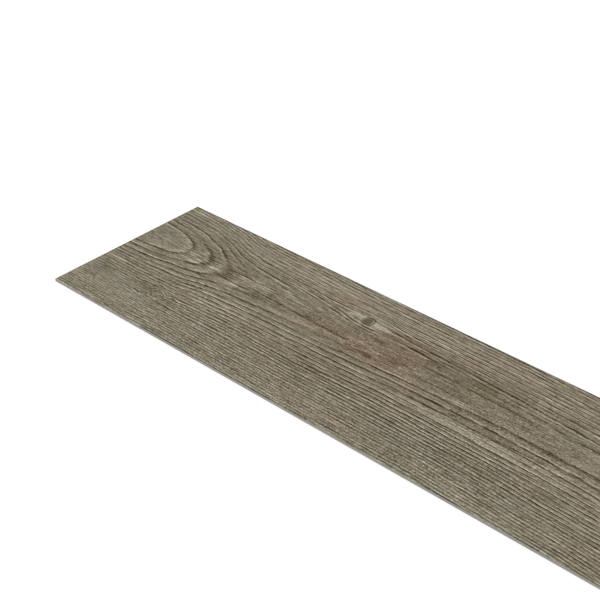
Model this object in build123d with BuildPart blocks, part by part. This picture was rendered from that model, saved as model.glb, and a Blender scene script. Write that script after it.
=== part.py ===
"""Vinyl floor plank: one strip of filled vinyl, pressed in one piece under a printed wood face.

Millimetres, +Z up. X runs along the plank and Y across it. The origin is the middle of the back face,
which is the face that is stuck to the floor, so the plank lies on Z = 0 with its printed face up.
"""

import os

from build123d import *

# Driving dimensions
plank_length = 914.4  # 36 in, from end to end
plank_width = 152.4  # 6 in, from long edge to long edge
plank_thickness = 2.5  # back face to printed face
bevel_width = 0.5  # the fine bevel round the printed face, measured in from each edge
bevel_depth = 0.3  # and measured down from the printed face


# Plank: a square-cut slab whose four edges are eased on the printed side only
with BuildPart() as plank:
    with BuildSketch() as outline:
        Rectangle(plank_length, plank_width)
    extrude(amount=plank_thickness)

    printed_face = plank.faces().sort_by(Axis.Z)[-1]
    chamfer(
        printed_face.edges(),
        length=bevel_width,
        length2=bevel_depth,
        reference=printed_face,
    )

plank.part.label = "plank"

os.makedirs("parts", exist_ok=True)
export_step(plank.part, "parts/plank.step")
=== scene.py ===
"""Looks of the vinyl floor plank: its embossed wood print, its cut edge, its pressed back, and the stage.

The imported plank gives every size. The grain is worked out in millimetres, along the plank from its left
end and across it from its near edge, by one set of sums that serves twice: a Geometry Nodes tree presses
it into the mesh, and a shader tree prints it, so relief and print lie in register.
"""

import math
from collections import namedtuple
from types import SimpleNamespace

import bpy
import numpy as np
from mathutils import Matrix, Vector


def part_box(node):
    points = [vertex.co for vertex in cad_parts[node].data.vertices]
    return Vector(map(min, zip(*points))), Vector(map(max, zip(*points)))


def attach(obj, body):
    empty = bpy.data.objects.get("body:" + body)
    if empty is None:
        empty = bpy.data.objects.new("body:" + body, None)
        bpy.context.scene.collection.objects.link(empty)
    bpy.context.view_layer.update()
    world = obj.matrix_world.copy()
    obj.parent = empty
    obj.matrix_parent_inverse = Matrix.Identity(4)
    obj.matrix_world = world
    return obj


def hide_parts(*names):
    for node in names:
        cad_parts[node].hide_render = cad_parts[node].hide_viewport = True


bl_info = {
    "name": "Vinyl Floor Plank",
    "version": (1, 0, 0),
    "blender": (4, 5, 0),
    "location": "View3D > Sidebar > Floor Plank",
    "description": "Builds one embossed vinyl floor plank with a procedural wood print",
    "category": "Object",
}

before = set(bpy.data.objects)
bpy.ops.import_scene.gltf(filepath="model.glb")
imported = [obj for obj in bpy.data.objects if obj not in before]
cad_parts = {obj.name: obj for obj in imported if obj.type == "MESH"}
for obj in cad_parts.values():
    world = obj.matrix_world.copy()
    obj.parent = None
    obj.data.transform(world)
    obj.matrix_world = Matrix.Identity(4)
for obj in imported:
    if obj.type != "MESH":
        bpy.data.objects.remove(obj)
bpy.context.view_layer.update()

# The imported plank: its corners, and the fine bevel round its printed face
TOUCHING = 1e-6  # metres within which two points are taken as one
CAD_NODE = "plank"
LOW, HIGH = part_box(CAD_NODE)
LENGTH, WIDTH, THICKNESS = HIGH - LOW
CAD_POINTS = [vertex.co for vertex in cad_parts[CAD_NODE].data.vertices]
FACE_END = max(point.x for point in CAD_POINTS if point.z > HIGH.z - TOUCHING)
BEVEL_WIDTH = HIGH.x - FACE_END
BEVEL_FOOT = max(point.z for point in CAD_POINTS if point.z < HIGH.z - TOUCHING)
MM = 1000.0  # millimetres in a metre
PLANK_MM = LENGTH * MM


def linear(level):
    """One display level, 0 to 255, as the linear number that Blender's colours use."""
    share = min(max(level, 0.0), 255.0) / 255
    return share / 12.92 if share <= 0.04045 else ((share + 0.055) / 1.055) ** 2.4


def display(number):
    """The display level, 0 to 255, of one linear number."""
    return 255 * (number * 12.92 if number <= 0.0031308 else 1.055 * number ** (1 / 2.4) - 0.055)


def colour(red, green, blue):
    """A linear colour from display levels."""
    return (linear(red), linear(green), linear(blue))


# The growth rings. Lines of the print lie where the ring number is whole. A ring is an arch about the
# heart line, and it ends in a tip where the cut has come far enough from the pith.
HEART_LINE = (  # along the plank, across it
    (0, 99.5),
    (40, 98.5),
    (60, 97),
    (80, 95),
    (140, 94.5),
    (190, 93.5),
    (290, 93.5),
    (400, 91),
    (520, 83),
    (650, 70),
    (780, 60),
    (914.4, 57),
)
PITH_DISTANCE = (  # along the plank, squared distance that is added to that from the heart line
    (0, 900),
    (20, 955),
    (40, 1090),
    (50, 1235),
    (60, 1320),
    (71, 1480),
    (94, 1810),
    (106, 1900),
    (140, 2040),
    (190, 2180),
    (240, 2290),
    (290, 2400),
    (400, 2520),
    (520, 2560),
    (640, 2380),
    (740, 2040),
    (830, 1560),
    (914.4, 1120),
)
RING_NUMBERS = (  # distance from the pith, ring number
    (28, -0.8),
    (34.5, 1.1),
    (48.6, 5.1),
    (56.4, 8.1),
    (64, 11.2),
    (72, 14.6),
    (82, 18.95),
    (92, 23.7),
    (104, 29.1),
    (150, 49),
)
HEART_TOP = 150  # above every place of the heart line
DEPTH_TOP = 3000  # above every squared distance of PITH_DISTANCE

# One ring from its inner side to its outer: share of its width, paleness of the print
RING_LINE = (
    (0.0, 0.35),
    (0.07, 0.0),
    (0.15, 0.05),
    (0.3, 0.4),
    (0.5, 0.55),
    (0.7, 0.7),
    (0.86, 0.95),
    (0.95, 0.8),
    (1.0, 0.35),
)

# How much narrower than in RING_LINE a line is: steepness (0 on the heart line, nearly 1 far from it),
# squeeze
LINE_SQUEEZE = (
    (0.0, 0.75),
    (0.2, 0.95),
    (0.35, 1.25),
    (0.5, 1.4),
    (0.65, 1.2),
    (0.85, 1.0),
    (1.0, 1.0),
)

Knot = namedtuple("Knot", "along across radius push reach")
KNOTS = (
    Knot(along=216, across=116.6, radius=4.8, push=5.0, reach=24),
    Knot(along=664, across=38, radius=4.1, push=4.2, reach=22),
)
PARTING_WIDTH = 14.0  # millimetres across over which the rings part round a knot
PARTING_MIDDLE = 30.0  # squared millimetres, how softly they part at its middle
HALO_SPOTS = ((-12, 1.6), (12.5, 0.2))  # pale wood beside a knot: along and across from its middle
HALO_SIZE = (8, 4.4)

# Outwards from a knot's middle: share of its radius, level that the print gains
KNOT_RINGS = (
    (0.0, -30),
    (0.2, -38),
    (0.4, -31),
    (0.58, -39),
    (0.72, -35),
    (0.84, -15),
    (0.94, -14),
    (1.03, -19),
    (1.18, 3),
    (1.38, 12),
    (1.7, 5),
    (2.0, 0),
)

# Soft oval patches of the print, in millimetres. level is in display levels, warmth and the strengths of
# the ring lines, of the lines between them, of the pale streaks and of the crisp grain are shares.
Patch = namedtuple(
    "Patch", "along across length width level warmth rings between streaks crisp", defaults=(0,) * 6
)
PATCHES = (
    Patch(263, 93, 11, 6, level=-16, warmth=0.5),
    Patch(240, 84, 22, 4, level=-1, warmth=0.35),
    Patch(207, 111, 24, 4, rings=1.1, between=1.2),
    Patch(212, 130, 30, 8, rings=-0.5),
    Patch(255, 100, 80, 38, warmth=0.25),
    Patch(390, 20, 100, 24, level=2, warmth=-0.3),
    Patch(288, 94, 18, 7, level=-1, rings=-1.0),
    Patch(74, 97, 5, 8, level=-7),
    Patch(240, 136, 220, 12, level=5, warmth=0.05, rings=-0.12),
    Patch(172, 133, 80, 12, level=5),
    Patch(182, 7, 44, 8, level=4),
    Patch(228, 48, 48, 13, level=-5, rings=-0.2),
    Patch(340, 52, 70, 9, rings=0.2),
    Patch(372, 95, 45, 26, level=-2, warmth=-0.1),
    Patch(190, 127, 14, 3.5, level=-8, warmth=0.3),
    Patch(118, 146, 14, 4, warmth=0.25),
    Patch(338, 106, 30, 5.5, level=-8, warmth=0.4, rings=-0.3),
    Patch(320, 112, 75, 13, rings=-0.5, between=0.6),
    Patch(150, 114, 60, 13, rings=-0.2, between=0.8),
    Patch(270, 46, 120, 11, rings=0.2),
    Patch(260, 12, 130, 14, level=1.5, rings=-0.2),
    Patch(250, 130, 60, 14, rings=0.15, between=0.5),
    Patch(66, 36, 5, 10, level=-10),
    Patch(88, 38, 9, 4, level=-9),
    Patch(30, 33, 25, 6, level=-5),
    Patch(48, 42, 16, 3, level=-5),
    Patch(75, 43, 6, 2, level=9),
    Patch(375, 38, 48, 11, level=-9, rings=-0.12),
    Patch(225, 43, 16, 5, level=-8, warmth=0.3),
    Patch(97, 97, 9, 7, level=-7, warmth=0.3),
    Patch(300, 94, 18, 6, level=-1, warmth=-0.25),
    Patch(9, 95, 10, 8, level=-2, warmth=-0.25),
    Patch(139, 87, 23, 3.6, level=-9, warmth=-0.6, rings=-0.8),
    Patch(122, 104, 22, 4, level=4, rings=-0.6),
    Patch(112, 97, 14, 4.5, level=11, streaks=1.2),
    Patch(130, 98.6, 11, 1.6, level=12),
    Patch(60, 95, 8, 7, level=4, streaks=1.3),
    Patch(82, 95, 7, 6, streaks=1.0),
    Patch(107, 86, 11, 3, level=7, streaks=1.1),
    Patch(120, 80, 26, 5, rings=-0.3),
    Patch(156, 94, 22, 7, rings=-0.5),
    Patch(69, 101, 4, 9, level=-4),
    Patch(92, 99, 5, 8, level=-5),
    Patch(76, 112, 16, 5, level=-5),
    Patch(150, 105, 45, 8, streaks=0.4),
    Patch(52, 84, 8, 1.6, level=12),
    Patch(345, 61, 62, 4.2, level=25, warmth=-0.15, rings=-0.75),
    Patch(22, 38, 34, 8, level=-4, rings=-0.25),
    Patch(40, 22, 50, 20, level=10.5, warmth=-0.15, rings=-0.72),
    Patch(210, 94, 95, 16, level=-5, warmth=0.12, rings=-0.98, streaks=0.3, crisp=0.65),
    Patch(365, 70, 60, 60, level=-2, crisp=0.75),
    Patch(250, 63, 50, 11, level=-3),
    Patch(230, 10, 200, 20, rings=-0.13, crisp=0.8),
    Patch(150, 38, 60, 14, crisp=0.5),
    Patch(230, 132, 190, 22, rings=0.12, crisp=-0.6),
    Patch(70, 94, 46, 14, rings=-0.32, streaks=0.9),
    Patch(150, 107, 50, 7, rings=-0.4),
    Patch(256, 77, 34, 2.2, rings=0.25),
    Patch(300, 73, 34, 2.2, rings=0.25),
    Patch(300, 66.5, 95, 2.2, rings=0.15),
    Patch(125, 60, 34, 9, level=5, rings=0.25),
    Patch(115, 36, 26, 8, rings=0.3),
    Patch(300, 36, 130, 17, rings=0.25),
    Patch(22, 137, 50, 14, rings=-0.4),
    Patch(60, 116, 60, 14, level=-6, rings=-0.28),
    Patch(60, 100, 26, 8, level=-4),
    Patch(8, 118, 30, 14, warmth=-0.15),
    Patch(150, 138, 60, 8, level=5, rings=-0.15),
    Patch(290, 113, 50, 12, level=-7),
    Patch(345, 93, 60, 12, level=3, rings=-0.85),
    Patch(320, 69, 60, 8, level=-3, rings=-0.2),
    Patch(300, 36, 50, 15, level=-7),
    Patch(370, 54, 45, 8, level=4, warmth=-0.2),
    Patch(480, 120, 60, 10, level=6, warmth=-0.1),
    Patch(560, 60, 50, 6, level=-9, warmth=0.4),
    Patch(610, 45, 26, 5, level=-8, warmth=0.5),
    Patch(655, 70, 30, 9, rings=-0.75),
    Patch(745, 62, 30, 9, rings=-0.75),
    Patch(705, 33, 30, 4, level=-7, warmth=0.4),
    Patch(760, 100, 60, 8, level=5, warmth=-0.2),
    Patch(820, 60, 50, 12, rings=0.3, streaks=0.8),
    Patch(850, 126, 34, 5, level=-8, warmth=0.35),
)

# The disturbed wood near the near-left corner, and how far its rings curl, in millimetres
SWIRL = Patch(72, 37, 22, 13)
CURLS = 5.0

# Thin dark fibre lines that run straight through the arches: start, end, across at each, depth in levels
Fibre = namedtuple("Fibre", "start end across_start across_end level")
FIBRES = (
    Fibre(116, 222, 91.2, 88.4, level=-54),
    Fibre(222, 266, 88.4, 88.2, level=-13),
    Fibre(68, 128, 100.3, 100.2, level=-46),
    Fibre(92, 122, 88.0, 88.4, level=-52),
    Fibre(52, 126, 78.7, 77.2, level=-42),
    Fibre(272, 344, 100.6, 99.0, level=-32),
    Fibre(344, 374, 99.8, 98.4, level=-32),
    Fibre(228, 276, 113.4, 111.2, level=-32),
    Fibre(238, 286, 119.6, 117.8, level=-30),
    Fibre(276, 300, 108.2, 107.4, level=-38),
    Fibre(298, 352, 106.8, 105.2, level=-20),
    Fibre(284, 372, 117.6, 112.0, level=-20),
    Fibre(312, 352, 115.0, 114.0, level=-26),
    Fibre(282, 334, 87.4, 86.6, level=-28),
    Fibre(262, 404, 66.2, 67.6, level=-40),
    Fibre(290, 404, 53.6, 55.4, level=-24),
    Fibre(266, 274, 90.4, 92.4, level=-24),
    Fibre(690, 790, 61.5, 59.0, level=-20),
)

# How strongly each part of the print shows, in display levels
PALE_LINES = 40.0
DARK_LINES = 47.0
LONG_FIBRES = 52.0
SHORT_FIBRES = 46.0
WIDE_FIBRES = 10.0
MOTTLE = 18.0
GRAIN = 42.0
CRISPER_GRAIN = 26.0  # what crispness adds to GRAIN
LEAST_GRAIN = 12.0
FINE_GRAIN = 60.0  # where the print is crisp
STREAKS = 38.0
PORES = 26.0
HALO = 33.0
CLOUDS = 8.0
RIM = 25.0  # how much darker the face is at its edges
INSIDE_RIM = 6.0  # how much paler it is just inside that
TRIM = 1.5  # taken off all over

# How deep each part of the print is pressed, as a share of the groove depth
PRESSED_DARK = 0.8
PRESSED_PALE = 0.3
PRESSED_PLAIN = 0.3
PRESSED_KNOT = 0.5

# The print's tones
PRINT_MIDDLE = 118  # display level about which the print's tones spread
PRINT_LEVELS = (40, 65, 90, 118, 150, 200)  # where its colour ramps have their stops
SHEEN = 0.018  # white light that the satin face adds to each of its tones
DIMPLE_PITCH = 1.6  # millimetres from one dimple of the back to the next

BAKE_MAP = "OFBake"


class Term:
    """A number that nodes work out for each point. The same sums build a shader tree or a geometry tree."""

    def __init__(self, tree, socket):
        self.tree = tree
        self.socket = socket

    def __add__(self, other):
        return sums(self.tree, "ADD", self, other)

    __radd__ = __add__

    def __sub__(self, other):
        return sums(self.tree, "SUBTRACT", self, other)

    def __rsub__(self, other):
        return sums(self.tree, "SUBTRACT", other, self)

    def __mul__(self, other):
        return sums(self.tree, "MULTIPLY", self, other)

    __rmul__ = __mul__

    def __truediv__(self, other):
        return sums(self.tree, "DIVIDE", self, other)

    def of(self, operation, *others):
        """Any other operation of the Math node."""
        return sums(self.tree, operation, self, *others)

    def line(self, factor, added):
        """self x factor + added, in one node."""
        return sums(self.tree, "MULTIPLY_ADD", self, factor, added)

    def clamped(self):
        """Held between 0 and 1."""
        return self.of("MAXIMUM", 0.0).of("MINIMUM", 1.0)

    def faded(self, rate=1.0):
        """1 where self is 0, falling to 0 as it grows."""
        return self.of("MULTIPLY", -rate).of("EXPONENT")


def feed(tree, socket, value):
    """Links a Term or a socket to a node's input, or sets a plain value on it."""
    if isinstance(value, Term):
        tree.links.new(value.socket, socket)
    elif isinstance(value, bpy.types.NodeSocket):
        tree.links.new(value, socket)
    else:
        socket.default_value = value


def sums(tree, operation, *values):
    """One Math node."""
    node = tree.nodes.new("ShaderNodeMath")
    node.operation = operation
    for socket, value in zip(node.inputs, values):
        feed(tree, socket, value)
    return Term(tree, node.outputs[0])


def noise(tree, along, across, slice_at, detail=0.0):
    """Smooth noise about zero, at the middle of its range. Each slice_at gives another pattern."""
    place = tree.nodes.new("ShaderNodeCombineXYZ")
    for socket, value in zip(place.inputs, (along, across, slice_at)):
        feed(tree, socket, value)
    node = tree.nodes.new("ShaderNodeTexNoise")
    node.noise_dimensions = "3D"
    feed(tree, node.inputs["Vector"], place.outputs[0])
    node.inputs["Scale"].default_value = 1.0
    node.inputs["Detail"].default_value = detail
    return Term(tree, node.outputs[0]).line(2.0, -1.0)


def curve(term, points, highest_in, highest_out, lowest_in=0.0, lowest_out=0.0):
    """Reads term through a smooth curve of given points."""
    node = term.tree.nodes.new("ShaderNodeFloatCurve")
    span_in = highest_in - lowest_in
    span_out = highest_out - lowest_out
    line = node.mapping.curves[0]
    for _ in points[2:]:
        line.points.new(0.5, 0.5)
    places = sorted(((x - lowest_in) / span_in, (y - lowest_out) / span_out) for x, y in points)
    for point, place in zip(line.points, places):
        point.location = place
        point.handle_type = "AUTO_CLAMPED"
    node.mapping.update()
    feed(term.tree, node.inputs["Value"], term.line(1 / span_in, -lowest_in / span_in))
    return Term(term.tree, node.outputs[0]).line(span_out, lowest_out)


def oval(along, across, patch):
    """1 in the middle of a soft oval patch, falling to 0 outside it."""
    x = along.line(1 / patch.length, -patch.along / patch.length)
    y = across.line(1 / patch.width, -patch.across / patch.width)
    return x.line(x, y * y).faded()


def patch_total(along, across, kind):
    """What all the patches together add to one kind of number."""
    total = 0.0
    for patch in PATCHES:
        amount = getattr(patch, kind)
        if amount:
            total = oval(along, across, patch).line(amount, total)
    return total


def round_the_knots(along, across):
    """The place across the plank where the rings are read: they part round each knot."""
    place = across
    for knot in KNOTS:
        x = along.line(1 / knot.reach, -knot.along / knot.reach)
        gap = across - knot.across
        near = x.line(x, gap * gap * (1 / PARTING_WIDTH**2)).faded()
        side = gap / gap.line(gap, PARTING_MIDDLE).of("SQRT")
        place = place - side * near * knot.push
    return place


def ring_number(along, across):
    """Rises by one from each growth ring to the next, outwards.

    With it come how widely the cut spreads the rings, and how much narrower their lines are.
    """
    tree = along.tree
    swirl = oval(along, across, SWIRL)
    waves = noise(tree, along / 62, across / 21, 3.1) * 1.1
    ripples = noise(tree, along / 17, across / 5, 7.7) * 0.35
    curls = noise(tree, along / 9, across / 5, 11.3) * swirl * CURLS
    place = round_the_knots(along, across) + waves + ripples + curls
    heart = curve(along, HEART_LINE, PLANK_MM, HEART_TOP)
    depth = curve(along, PITH_DISTANCE, PLANK_MM, DEPTH_TOP)
    off_heart = place - heart
    distance = off_heart.line(off_heart, depth).of("SQRT")
    number = curve(distance, RING_NUMBERS, *RING_NUMBERS[-1], *RING_NUMBERS[0])
    uneven = noise(tree, number * 0.6, 0.5, 5.9) * 0.25
    steepness = off_heart / distance
    spread = steepness.line(steepness, 0.006).of("POWER", -0.13)
    frayed = noise(tree, along / 15, across / 0.9, 9.1, detail=1.0) * spread.line(0.4, -0.32)
    squeeze = curve(steepness.of("ABSOLUTE"), LINE_SQUEEZE, 1.0, 2.0)
    return number + uneven + frayed, spread, squeeze


def line_profile(number, squeeze):
    """One line a ring: above 0 where it is pale, below 0 where it is dark."""
    share = number.of("FRACT")
    after = (share * squeeze).of("MINIMUM", 0.55)
    before = ((share - 1.0) * squeeze + 1.0).of("MAXIMUM", 0.55)
    return curve(after + before - 0.55, RING_LINE, 1.0, 1.0).line(2.0, -1.06)


def ring_lines(along, across):
    """The printed ring lines and the finer ones between them: how dark and how pale a point is."""
    tree = along.tree
    number, spread, squeeze = ring_number(along, across)
    line = line_profile(number, squeeze)
    finer = line_profile(number + 0.5, squeeze * 1.3)
    even = noise(tree, along / 36, number * 0.8, 21.0, detail=1.0).line(1.35, 1.0)
    strength = (even + patch_total(along, across, "rings")).of("MAXIMUM", 0.05)
    strength = strength * squeeze.line(0.6, 0.4).of("MAXIMUM", 1.0)
    strength = strength * number.line(5.0, -2.75).clamped()
    between = patch_total(along, across, "between")
    broken = noise(tree, along / 9, across / 1.1, 23.0).line(-0.95, -1.0)
    dark = line.of("MINIMUM", 0.0) * strength + finer.of("MINIMUM", 0.0) * between
    pale = line.of("MAXIMUM", 0.0) * strength + finer.of("MAXIMUM", 0.0) * between
    return SimpleNamespace(dark=dark * broken, pale=pale * spread.line(-0.7, 1.7))


def knot_marks(along, across):
    """Each knot's own rings, as a level, and how far a point is inside it."""
    tree = along.tree
    level = None
    inside = None
    for knot in KNOTS:
        x = along - knot.along
        y = across - knot.across
        rough = noise(tree, x / 4, y / 4, 31.0) * 0.16 + noise(tree, x / 1.4, y / 1.4, 33.0) * 0.12
        radius = x.line(x, y * y).of("SQRT").line(1 / knot.radius, rough) - (x + y) * (0.06 / knot.radius)
        within = radius.line(-3.3, 4.3).clamped()
        mark = curve(radius.of("MINIMUM", 2.0), KNOT_RINGS, 2.0, 20.0, 0.0, -40.0)
        turned = (x * 0.8 + y * 0.6).line(1 / knot.radius, 0.1).clamped()
        pale_arc = radius.line(1.0, -0.8).of("POWER", 2.0).faded(100.0)
        dark_arc = radius.line(1.0, -1.04).of("POWER", 2.0).faded(60.0)
        mark = mark + (pale_arc * 30.0 - dark_arc * 30.0) * turned
        level = mark if level is None else level + mark
        inside = within if inside is None else inside + within
    return level, inside


def halo(along, across):
    """The pale wood at both sides of each knot."""
    total = 0.0
    for knot in KNOTS:
        for along_by, across_by in HALO_SPOTS:
            spot = Patch(knot.along + along_by, knot.across + across_by, *HALO_SIZE)
            total = oval(along, across, spot).line(1.0, total)
    return total


def fibre_lines(along, across):
    """The thin dark fibre lines, as a level."""
    tree = along.tree
    shake = noise(tree, along / 9, 0.0, 41.0) * 0.5
    total = 0.0
    for fibre in FIBRES:
        length = fibre.end - fibre.start
        share = along.line(1 / length, -fibre.start / length)
        window = (share * (1.0 - share) * 16.0).clamped()
        middle = share.line(fibre.across_end - fibre.across_start, fibre.across_start)
        off = (across - middle + shake) * (1 / 0.65)
        line = (off * off).faded() * window
        total = line.line(fibre.level, total)
    return total


def edge_distance(along, across):
    """How far a point of the face is from the nearest edge."""
    ends = along.of("MINIMUM", PLANK_MM - along)
    sides = across.of("MINIMUM", WIDTH * MM - across)
    return ends.of("MINIMUM", sides)


def object_place(tree):
    """Along, across and height in millimetres, from the shader's Object coordinates."""
    place = tree.nodes.new("ShaderNodeTexCoord")
    split = tree.nodes.new("ShaderNodeSeparateXYZ")
    tree.links.new(place.outputs["Object"], split.inputs[0])
    along = Term(tree, split.outputs["X"]).line(MM, -LOW.x * MM)
    across = Term(tree, split.outputs["Y"]).line(MM, -LOW.y * MM)
    height = Term(tree, split.outputs["Z"]) * MM
    return along, across, height


def shifted(tone, level):
    """A colour moved to another display level, with its hue kept, less what the face's sheen adds."""
    seen = (linear(display(channel) + level - PRINT_MIDDLE) for channel in tone)
    return tuple(max(channel - SHEEN, 0.004) for channel in seen)


def tone_ramp(tree, level, tone):
    """Colours from dark to pale about one tone, read by display level."""
    node = tree.nodes.new("ShaderNodeValToRGB")
    stops = node.color_ramp.elements
    for _ in PRINT_LEVELS[2:]:
        stops.new(0.5)
    for stop, at in zip(stops, PRINT_LEVELS):
        stop.position = at / 255
        stop.color = (*shifted(tone, at), 1.0)
    feed(tree, node.inputs[0], level * (1 / 255))
    return node.outputs[0]


def new_material(name):
    """An empty material with its Principled shader."""
    material = bpy.data.materials.new(name)
    material.use_nodes = True
    return material, material.node_tree, material.node_tree.nodes["Principled BSDF"]


def bump(tree, shader, height, distance):
    """Fine relief from a height of about 0 to 1, with its real depth in metres."""
    node = tree.nodes.new("ShaderNodeBump")
    node.inputs["Distance"].default_value = distance
    feed(tree, node.inputs["Height"], height)
    tree.links.new(node.outputs["Normal"], shader.inputs["Normal"])


def two_shades(tree, shader, blend, tone, darker, paler):
    """Colours a surface from a darker to a paler shade of one tone."""
    mix = tree.nodes.new("ShaderNodeMix")
    mix.data_type = "RGBA"
    feed(tree, mix.inputs["Factor"], blend.clamped())
    mix.inputs["A"].default_value = (*(darker * channel for channel in tone), 1.0)
    mix.inputs["B"].default_value = (*(paler * channel for channel in tone), 1.0)
    tree.links.new(mix.outputs["Result"], shader.inputs["Base Color"])


def print_finish(colours):
    """The printed and embossed face: ring lines, fibres, patches and knots on two tones of wood."""
    material, tree, shader = new_material("wood_print")
    along, across, _ = object_place(tree)
    rings = ring_lines(along, across)
    knots, in_knot = knot_marks(along, across)
    off_knot = 1.0 - in_knot * 0.8
    pale_wood = halo(along, across)
    to_edge = edge_distance(along, across)
    rim = to_edge.line(1.0, -0.6).of("POWER", 2.0).faded(1.2)
    inside_rim = to_edge.line(1.0, -3.0).of("POWER", 2.0).faded(1.2)

    long_fibres = noise(tree, along / 24, across / 0.9, 51.0, detail=1.0)
    short_fibres = noise(tree, along / 6.5, across / 1.0, 53.0, detail=1.0)
    wide_fibres = noise(tree, along / 60, across / 2.6, 57.0)
    mottle = noise(tree, along / 3.2, across / 2.0, 59.0, detail=2.0)
    grain = noise(tree, along / 2.2, across / 0.9, 63.0, detail=1.0)
    fine_grain = noise(tree, along / 1.2, across / 0.7, 65.0)
    pores = short_fibres.line(4.0, -1.1).clamped()
    streaks = noise(tree, along / 14, across / 1.2, 61.0).line(3.0, -0.3).of("MAXIMUM", 0.0)
    clouds = noise(tree, along / 95, across / 24, 67.0, detail=1.0)

    lines = rings.pale * PALE_LINES - rings.dark * DARK_LINES
    level = lines * (1.0 - pale_wood).of("MAXIMUM", 0.0)
    crisp = patch_total(along, across, "crisp")
    level = level + long_fibres * LONG_FIBRES + short_fibres * SHORT_FIBRES + wide_fibres * WIDE_FIBRES
    grain_strength = crisp.line(CRISPER_GRAIN, GRAIN).of("MAXIMUM", LEAST_GRAIN)
    level = level + mottle * MOTTLE + grain * grain_strength
    level = level + fine_grain * crisp.of("MAXIMUM", 0.0) * FINE_GRAIN
    level = level + streaks * patch_total(along, across, "streaks") * STREAKS
    level = level - pores * PORES
    level = (level + fibre_lines(along, across)) * off_knot
    level = level + patch_total(along, across, "level") + pale_wood * HALO + knots
    from_near = (across * 0.03).of("MINIMUM", 1.0)  # the near edge has no darker rim
    level = level + inside_rim * INSIDE_RIM - rim * from_near * RIM
    level = level + clouds * CLOUDS + (PRINT_MIDDLE - TRIM)

    drift = noise(tree, along / 70, across / 16, 71.0, detail=1.0)
    warmth = drift.line(0.38, along.line(1 / 2400, 0.26)) + patch_total(along, across, "warmth")
    warmth = warmth - pale_wood * 0.6 - rim * 0.4
    warmth = warmth.clamped()

    mix = tree.nodes.new("ShaderNodeMix")
    mix.data_type = "RGBA"
    feed(tree, mix.inputs["Factor"], warmth)
    feed(tree, mix.inputs["A"], tone_ramp(tree, level, colours.cool_tone))
    feed(tree, mix.inputs["B"], tone_ramp(tree, level, colours.warm_tone))
    tree.links.new(mix.outputs["Result"], shader.inputs["Base Color"])
    feed(tree, shader.inputs["Roughness"], long_fibres.line(0.1, 0.62))
    shader.inputs["Specular IOR Level"].default_value = 0.12
    bump(tree, shader, long_fibres.line(0.35, 0.5) - pores * 0.5, 0.00008)
    return material


def edge_finish(colours):
    """The cut edge: filled vinyl, pale grey, with fine specks and the knife's faint drag lines."""
    material, tree, shader = new_material("filled_vinyl_edge")
    along, across, height = object_place(tree)
    specks = noise(tree, (along + across) / 0.5, height / 0.5, 81.0, detail=2.0)
    drag = noise(tree, (along + across) / 9, height / 0.16, 83.0)
    blend = specks.line(0.35, 0.5) + drag * 0.25
    two_shades(tree, shader, blend, colours.edge, darker=0.86, paler=1.14)
    feed(tree, shader.inputs["Roughness"], drag.line(0.1, 0.62))
    shader.inputs["Specular IOR Level"].default_value = 0.35
    bump(tree, shader, drag, 0.00005)
    return material


def back_finish(colours):
    """The back: grey vinyl with the fine linen-like dimples of its pressing plate, with painted shade
    darkening the dimples' hollows and paler crowns.
    """
    material, tree, shader = new_material("pressed_back")
    along, across, _ = object_place(tree)
    turns = math.tau / DIMPLE_PITCH
    dimples = (along * turns).of("SINE") * (across * turns).of("SINE")
    cloud = noise(tree, along / 40, across / 40, 91.0, detail=3.0)
    grit = noise(tree, along / 0.7, across / 0.7, 93.0, detail=1.0)
    # dimples * 0.35 paints shade into the dimples' hollows and lighter crowns, in step with their bump
    blend = cloud * 0.6 + grit * 0.6 + dimples * 0.35 + 0.5
    two_shades(tree, shader, blend, colours.back, darker=0.8, paler=1.2)
    feed(tree, shader.inputs["Roughness"], grit.line(0.08, 0.72))
    shader.inputs["Specular IOR Level"].default_value = 0.3
    bump(tree, shader, dimples.line(0.5, 0.5) + grit * 0.2, 0.00012)
    return material


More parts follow.
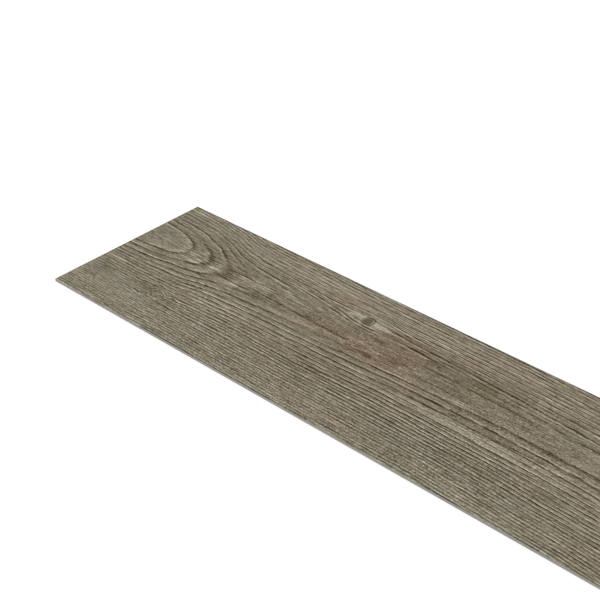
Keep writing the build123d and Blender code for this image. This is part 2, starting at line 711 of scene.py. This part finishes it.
class ReliefTree:
    """The Geometry Nodes tree that presses the grain into the plank, with its named inputs."""

    def __init__(self):
        self.tree = bpy.data.node_groups.new("Pressed Plank", "GeometryNodeTree")
        self.inputs = self.tree.nodes.new("NodeGroupInput")
        self.tree.interface.new_socket("Geometry", in_out="OUTPUT", socket_type="NodeSocketGeometry")
        self.identifiers = {}

    def named_input(self, name, kind):
        """Adds an input to the tree, and notes its identifier for the modifier."""
        socket = self.tree.interface.new_socket(name, in_out="INPUT", socket_type=kind)
        self.identifiers[name] = socket.identifier
        return self.inputs.outputs[name]

    def number_input(self, name, kind="NodeSocketFloat"):
        """Adds an input that is a number, as a term."""
        return Term(self.tree, self.named_input(name, kind))

    def add(self, kind, **settings):
        """Adds a node with its settings."""
        node = self.tree.nodes.new(kind)
        for name, value in settings.items():
            setattr(node, name, value)
        return node

    def link(self, value, socket):
        """Feeds a value, a term or a socket to a node's input."""
        feed(self.tree, socket, value)

    def position(self):
        """The point's place, as three terms."""
        place = self.add("GeometryNodeInputPosition")
        split = self.add("ShaderNodeSeparateXYZ")
        self.link(place.outputs[0], split.inputs[0])
        return [Term(self.tree, socket) for socket in split.outputs]

    def move(self, geometry, x, y, z, selection=None):
        """Puts the selected points at x, y, z."""
        place = self.add("ShaderNodeCombineXYZ")
        for value, socket in zip((x, y, z), place.inputs):
            self.link(value, socket)
        node = self.add("GeometryNodeSetPosition")
        self.link(geometry, node.inputs["Geometry"])
        self.link(place.outputs[0], node.inputs["Position"])
        if selection is not None:
            self.link(selection, node.inputs["Selection"])
        return node.outputs["Geometry"]

    def extrude_rim(self, geometry):
        """Grows a strip of faces from the open rim. Returns the mesh, the new rim and the strip."""
        neighbours = self.add("GeometryNodeInputMeshEdgeNeighbors")
        rim = self.add("FunctionNodeCompare", data_type="INT", operation="EQUAL")
        self.link(neighbours.outputs[0], rim.inputs[2])
        rim.inputs[3].default_value = 1
        node = self.add("GeometryNodeExtrudeMesh", mode="EDGES")
        self.link(geometry, node.inputs["Mesh"])
        self.link(rim.outputs[0], node.inputs["Selection"])
        node.inputs["Offset Scale"].default_value = 0.0
        return node.outputs["Mesh"], node.outputs["Top"], node.outputs["Side"]

    def either(self, first, second):
        """What is in one selection or in the other."""
        node = self.add("FunctionNodeBooleanMath", operation="OR")
        self.link(first, node.inputs[0])
        self.link(second, node.inputs[1])
        return node.outputs[0]

    def set_material(self, geometry, material, selection=None):
        """Gives the selected faces a material."""
        node = self.add("GeometryNodeSetMaterial")
        self.link(geometry, node.inputs["Geometry"])
        self.link(material, node.inputs["Material"])
        if selection is not None:
            self.link(selection, node.inputs["Selection"])
        return node.outputs["Geometry"]


def relief_tree():
    """A fine grid pressed along the grain, then grown down over bevel, cut edge and back until closed."""
    build = ReliefTree()
    length = build.number_input("Length")
    width = build.number_input("Width")
    thickness = build.number_input("Thickness")
    bevel_width = build.number_input("Bevel Width")
    bevel_foot = build.number_input("Bevel Foot")
    columns = build.number_input("Columns", "NodeSocketInt")
    rows = build.number_input("Rows", "NodeSocketInt")
    groove = build.number_input("Groove Depth")
    printed = build.named_input("Printed Face", "NodeSocketMaterial")
    cut = build.named_input("Cut Edge", "NodeSocketMaterial")
    pressed = build.named_input("Pressed Back", "NodeSocketMaterial")

    face_length = length - bevel_width * 2.0
    face_width = width - bevel_width * 2.0
    grid = build.add("GeometryNodeMeshGrid")
    build.link(face_length, grid.inputs["Size X"])
    build.link(face_width, grid.inputs["Size Y"])
    build.link(columns + 1.0, grid.inputs["Vertices X"])
    build.link(rows + 1.0, grid.inputs["Vertices Y"])

    x, y, _ = build.position()
    along = (x + length * 0.5) * MM
    across = (y + width * 0.5) * MM
    rings = ring_lines(along, across)
    _, in_knot = knot_marks(along, across)
    pressing = rings.dark * PRESSED_DARK - rings.pale * PRESSED_PALE + PRESSED_PLAIN
    pressing = pressing * (1.0 - in_knot)
    pressing = pressing + in_knot * PRESSED_KNOT
    pressing = pressing.clamped()
    mesh = build.move(grid.outputs["Mesh"], x, y, thickness - pressing * groove)

    smooth = build.add("GeometryNodeSetShadeSmooth", domain="FACE")
    build.link(mesh, smooth.inputs["Geometry"])

    mesh, rim, bevel = build.extrude_rim(smooth.outputs["Geometry"])
    mesh = build.move(mesh, x * (length / face_length), y * (width / face_width), bevel_foot, rim)
    mesh, rim, wall = build.extrude_rim(mesh)
    mesh = build.move(mesh, x, y, 0.0, rim)
    mesh, rim, back = build.extrude_rim(mesh)
    spine = (length - width) * 0.5
    spine_x = x.of("MAXIMUM", spine * -1.0).of("MINIMUM", spine)
    mesh = build.move(mesh, spine_x, 0.0, 0.0, rim)
    weld = build.add("GeometryNodeMergeByDistance")
    build.link(mesh, weld.inputs["Geometry"])
    build.link(rim, weld.inputs["Selection"])
    weld.inputs["Distance"].default_value = TOUCHING

    flat = build.add("GeometryNodeSetShadeSmooth", domain="FACE")
    build.link(weld.outputs["Geometry"], flat.inputs["Geometry"])
    any_side = build.either(build.either(bevel, wall), back)
    build.link(any_side, flat.inputs["Selection"])
    flat.inputs["Shade Smooth"].default_value = False

    realized = build.add("GeometryNodeRealizeInstances")
    build.link(flat.outputs["Geometry"], realized.inputs["Geometry"])
    mesh = build.set_material(realized.outputs["Geometry"], printed)
    mesh = build.set_material(mesh, cut, wall)
    mesh = build.set_material(mesh, pressed, back)
    output = build.add("NodeGroupOutput")
    build.link(mesh, output.inputs["Geometry"])
    return build


def grown_mesh(name, build, values):
    """Runs a tree on an empty object and returns its result as a plain mesh."""
    holder = bpy.data.objects.new(name + "_holder", bpy.data.meshes.new(name + "_holder"))
    bpy.context.scene.collection.objects.link(holder)
    modifier = holder.modifiers.new(name, "NODES")
    modifier.node_group = build.tree
    for label, value in values.items():
        modifier[build.identifiers[label]] = value
    bpy.context.view_layer.update()
    graph = bpy.context.evaluated_depsgraph_get()
    mesh = bpy.data.meshes.new_from_object(holder.evaluated_get(graph), depsgraph=graph)
    holder.modifiers.remove(modifier)
    bpy.data.objects.remove(holder)
    mesh.name = name
    return mesh


def lay_out_bake_map(mesh):
    """A UV map for baking the surface: the printed face folded into two rows, then back, sides and ends."""
    corners = len(mesh.loops)
    faces = len(mesh.polygons)
    places = np.empty(len(mesh.vertices) * 3, np.float32)
    mesh.vertices.foreach_get("co", places)
    places = places.reshape(-1, 3)
    vertex = np.empty(corners, np.int32)
    mesh.loops.foreach_get("vertex_index", vertex)
    count = np.empty(faces, np.int32)
    mesh.polygons.foreach_get("loop_total", count)
    normal = np.empty(faces * 3, np.float32)
    mesh.polygons.foreach_get("normal", normal)
    middle = np.empty(faces * 3, np.float32)
    mesh.polygons.foreach_get("center", middle)
    normal = np.repeat(normal.reshape(-1, 3), count, axis=0)
    middle = np.repeat(middle.reshape(-1, 3), count, axis=0)
    along = places[vertex, 0] - LOW.x
    across = places[vertex, 1] - LOW.y
    height = places[vertex, 2]

    row = WIDTH / (LENGTH / 2)  # how tall one folded row is, beside the map's width
    gap = 0.006  # between the map's parts
    strip = 0.02  # how tall a side or an end is
    beside = 0.4  # from one end to the other in their row
    right = middle[:, 0] > 0
    up = normal[:, 2] > 0.5
    down = normal[:, 2] < -0.5
    side = ~up & ~down & (np.abs(normal[:, 1]) > 0.5)
    end = ~up & ~down & ~side
    far = np.where(side, normal[:, 1] > 0, normal[:, 0] > 0)

    u = along / LENGTH
    v = np.zeros(corners)
    u = np.where(up, (along - right * LENGTH / 2) / (LENGTH / 2), u)
    v = np.where(up, (across / WIDTH) * row + right * (row + gap), v)
    base = 2 * (row + gap)
    v = np.where(down, base + across / LENGTH, v)
    base += WIDTH / LENGTH + gap
    v = np.where(side, base + far * (strip + gap) + height / THICKNESS * strip, v)
    base += 2 * (strip + gap)
    u = np.where(end, across / LENGTH + far * beside, u)
    v = np.where(end, base + height / THICKNESS * strip, v)
    layer = mesh.uv_layers.new(name=BAKE_MAP)
    layer.data.foreach_set("uv", np.stack([u, v], 1).astype(np.float32).ravel())


class PlankRelief(bpy.types.PropertyGroup):
    """How finely the plank's face is meshed, and how deep its grain is pressed."""

    columns: bpy.props.IntProperty(
        name="Columns",
        description="Faces along the plank; even, so that none crosses its middle",
        default=286,
        min=2,
    )
    rows: bpy.props.IntProperty(
        name="Rows", description="Faces across the plank", default=320, min=2
    )
    groove_depth: bpy.props.FloatProperty(
        name="Groove Depth",
        description="Depth of the deepest pressed grain line",
        default=0.00012,
        subtype="DISTANCE",
        unit="LENGTH",
    )


class PlankColours(bpy.types.PropertyGroup):
    """The plank's colours, under plain light."""

    cool_tone: bpy.props.FloatVectorProperty(
        name="Cool Tone",
        description="Middle of the print's grey-green wood tone",
        default=colour(126.5, 121.8, 105.6),
        size=3,
        subtype="COLOR",
    )
    warm_tone: bpy.props.FloatVectorProperty(
        name="Warm Tone",
        description="Middle of the print's red-brown wood tone",
        default=colour(134.0, 118.8, 101.0),
        size=3,
        subtype="COLOR",
    )
    edge: bpy.props.FloatVectorProperty(
        name="Cut Edge",
        description="Filled vinyl where it was cut",
        default=colour(152, 149, 141),
        size=3,
        subtype="COLOR",
    )
    back: bpy.props.FloatVectorProperty(
        name="Back", description="Vinyl of the back", default=colour(118, 117, 113), size=3, subtype="COLOR"
    )


class StageSettings(bpy.types.PropertyGroup):
    """The camera's place about the plank and the plain studio light."""

    look_along: bpy.props.FloatProperty(
        name="Look Along",
        description="Distance from the plank's left end to the middle of the view",
        default=0.1598,
        subtype="DISTANCE",
        unit="LENGTH",
    )
    look_across: bpy.props.FloatProperty(
        name="Look Across",
        description="Distance from the plank's near edge to the middle of the view",
        default=0.10436,
        subtype="DISTANCE",
        unit="LENGTH",
    )
    distance: bpy.props.FloatProperty(
        name="Distance",
        description="From the camera to the middle of the view",
        default=1.02295,
        subtype="DISTANCE",
        unit="LENGTH",
    )
    azimuth: bpy.props.FloatProperty(
        name="Azimuth",
        description="The camera's turn about the plank, from straight in front of its long edge",
        default=math.radians(42.30),
        subtype="ANGLE",
        unit="ROTATION",
    )
    elevation: bpy.props.FloatProperty(
        name="Elevation",
        description="The camera's height above the horizon",
        default=math.radians(33.336),
        subtype="ANGLE",
        unit="ROTATION",
    )
    lens: bpy.props.FloatProperty(
        name="Lens", description="Focal length on a 36 mm sensor", default=81.71, unit="CAMERA"
    )
    dome: bpy.props.FloatProperty(
        name="Dome Light", description="Strength of the even light from all round", default=0.62
    )
    key: bpy.props.FloatProperty(
        name="Key Light", description="Strength of the soft lamp from the upper left", default=1.45
    )


class OBJECT_OT_floor_plank(bpy.types.Operator):
    """Build the pressed and printed plank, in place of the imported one"""

    bl_idname = "object.floor_plank_build"
    bl_label = "Vinyl Floor Plank"

    def execute(self, context):
        relief = context.scene.plank_relief
        colours = context.scene.plank_colours
        build = relief_tree()
        values = {
            "Length": LENGTH,
            "Width": WIDTH,
            "Thickness": THICKNESS,
            "Bevel Width": BEVEL_WIDTH,
            "Bevel Foot": BEVEL_FOOT,
            "Columns": relief.columns,
            "Rows": relief.rows,
            "Groove Depth": relief.groove_depth,
            "Printed Face": print_finish(colours),
            "Cut Edge": edge_finish(colours),
            "Pressed Back": back_finish(colours),
        }
        mesh = grown_mesh("vinyl_plank", build, values)
        if not mesh.polygons:
            raise RuntimeError("the plank's tree gave no faces")
        lay_out_bake_map(mesh)
        plank = bpy.data.objects.new("vinyl_plank", mesh)
        context.scene.collection.objects.link(plank)
        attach(plank, "root")
        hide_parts(CAD_NODE)
        return {"FINISHED"}


def stage_floor():
    """A wide white floor. The camera sees it white, and it keeps the plank's shadow."""
    mesh = bpy.data.meshes.new("studio_floor")
    half = 6.0  # metres from its middle to its edges
    drop = -0.00002  # just under the plank's back
    corners = [(-half, -half, drop), (half, -half, drop), (half, half, drop), (-half, half, drop)]
    mesh.from_pydata(corners, [], [(0, 1, 2, 3)])
    floor = bpy.data.objects.new("studio_floor", mesh)
    bpy.context.scene.collection.objects.link(floor)
    material, tree, shader = new_material("studio_white")
    shader.inputs["Base Color"].default_value = (0.9, 0.9, 0.9, 1.0)
    shader.inputs["Roughness"].default_value = 0.9
    shader.inputs["Specular IOR Level"].default_value = 0.0
    seen = camera_rays(tree)
    shader.inputs["Emission Color"].default_value = (1.0, 1.0, 1.0, 1.0)
    feed(tree, shader.inputs["Emission Strength"], seen * 0.14)
    mesh.materials.append(material)


def camera_rays(tree):
    """1 for what the camera sees, straight or in a shiny or clear surface."""
    path = tree.nodes.new("ShaderNodeLightPath")
    total = Term(tree, path.outputs["Is Camera Ray"])
    for name in ("Is Glossy Ray", "Is Transmission Ray"):
        total = total + Term(tree, path.outputs[name])
    return total.of("MINIMUM", 1.0)


def stage_world(settings):
    """An even dome of light, shown as plain white behind the plank."""
    world = bpy.data.worlds.new("studio")
    bpy.context.scene.world = world
    world.use_nodes = True
    tree = world.node_tree
    light = tree.nodes["Background"]
    light.inputs["Color"].default_value = (1.0, 1.0, 1.0, 1.0)
    strength = camera_rays(tree).line(1.0 - settings.dome, settings.dome)
    feed(tree, light.inputs["Strength"], strength)


def stage_lamp(settings):
    """One soft lamp, high on the left in front of the plank."""
    lamp = bpy.data.lights.new("key_light", "SUN")
    lamp.energy = settings.key
    lamp.angle = math.radians(30)
    key = bpy.data.objects.new("key_light", lamp)
    bpy.context.scene.collection.objects.link(key)
    towards = Vector((-0.35, -0.45, 1.0))
    key.rotation_mode = "QUATERNION"
    key.rotation_quaternion = towards.to_track_quat("Z", "Y")


def stage_camera(settings):
    """The camera on its sphere about the middle of the view."""
    data = bpy.data.cameras.new("camera")
    data.lens = settings.lens
    data.sensor_width = 36.0
    camera = bpy.data.objects.new("camera", data)
    bpy.context.scene.collection.objects.link(camera)
    flat = math.cos(settings.elevation)
    away = Vector(
        (
            math.sin(settings.azimuth) * flat,
            -math.cos(settings.azimuth) * flat,
            math.sin(settings.elevation),
        )
    )
    middle = Vector((LOW.x + settings.look_along, LOW.y + settings.look_across, HIGH.z))
    turn = away.to_track_quat("Z", "Y").to_matrix().to_4x4()
    camera.matrix_world = Matrix.Translation(middle + away * settings.distance) @ turn
    bpy.context.scene.camera = camera


class OBJECT_OT_plank_stage(bpy.types.Operator):
    """Set up the white floor, the soft light and the camera"""

    bl_idname = "object.floor_plank_stage"
    bl_label = "Studio Stage"

    def execute(self, context):
        settings = context.scene.plank_stage
        stage_floor()
        stage_world(settings)
        stage_lamp(settings)
        stage_camera(settings)
        context.scene.view_settings.view_transform = "Standard"
        return {"FINISHED"}


class VIEW3D_PT_floor_plank(bpy.types.Panel):
    """Lists the plank's and the stage's operators with their settings"""

    bl_label = "Vinyl Floor Plank"
    bl_space_type = "VIEW_3D"
    bl_region_type = "UI"
    bl_category = "Floor Plank"

    def draw(self, context):
        scene = context.scene
        for group, operator in (
            (scene.plank_relief, OBJECT_OT_floor_plank),
            (scene.plank_colours, None),
            (scene.plank_stage, OBJECT_OT_plank_stage),
        ):
            column = self.layout.column()
            for name in group.__annotations__:
                column.prop(group, name)
            if operator:
                column.operator(operator.bl_idname)


GROUPS = {"plank_relief": PlankRelief, "plank_colours": PlankColours, "plank_stage": StageSettings}
CLASSES = (*GROUPS.values(), OBJECT_OT_floor_plank, OBJECT_OT_plank_stage, VIEW3D_PT_floor_plank)


def register():
    """Registers the classes, and their settings on the scene."""
    for item in CLASSES:
        bpy.utils.register_class(item)
    for name, group in GROUPS.items():
        setattr(bpy.types.Scene, name, bpy.props.PointerProperty(type=group))


def unregister():
    """Takes the settings and the classes away again."""
    for name in GROUPS:
        delattr(bpy.types.Scene, name)
    for item in reversed(CLASSES):
        bpy.utils.unregister_class(item)


def main():
    """Builds the plank and its stage."""
    register()
    bpy.ops.object.floor_plank_build()
    bpy.ops.object.floor_plank_stage()


if __name__ == "__main__":
    main()
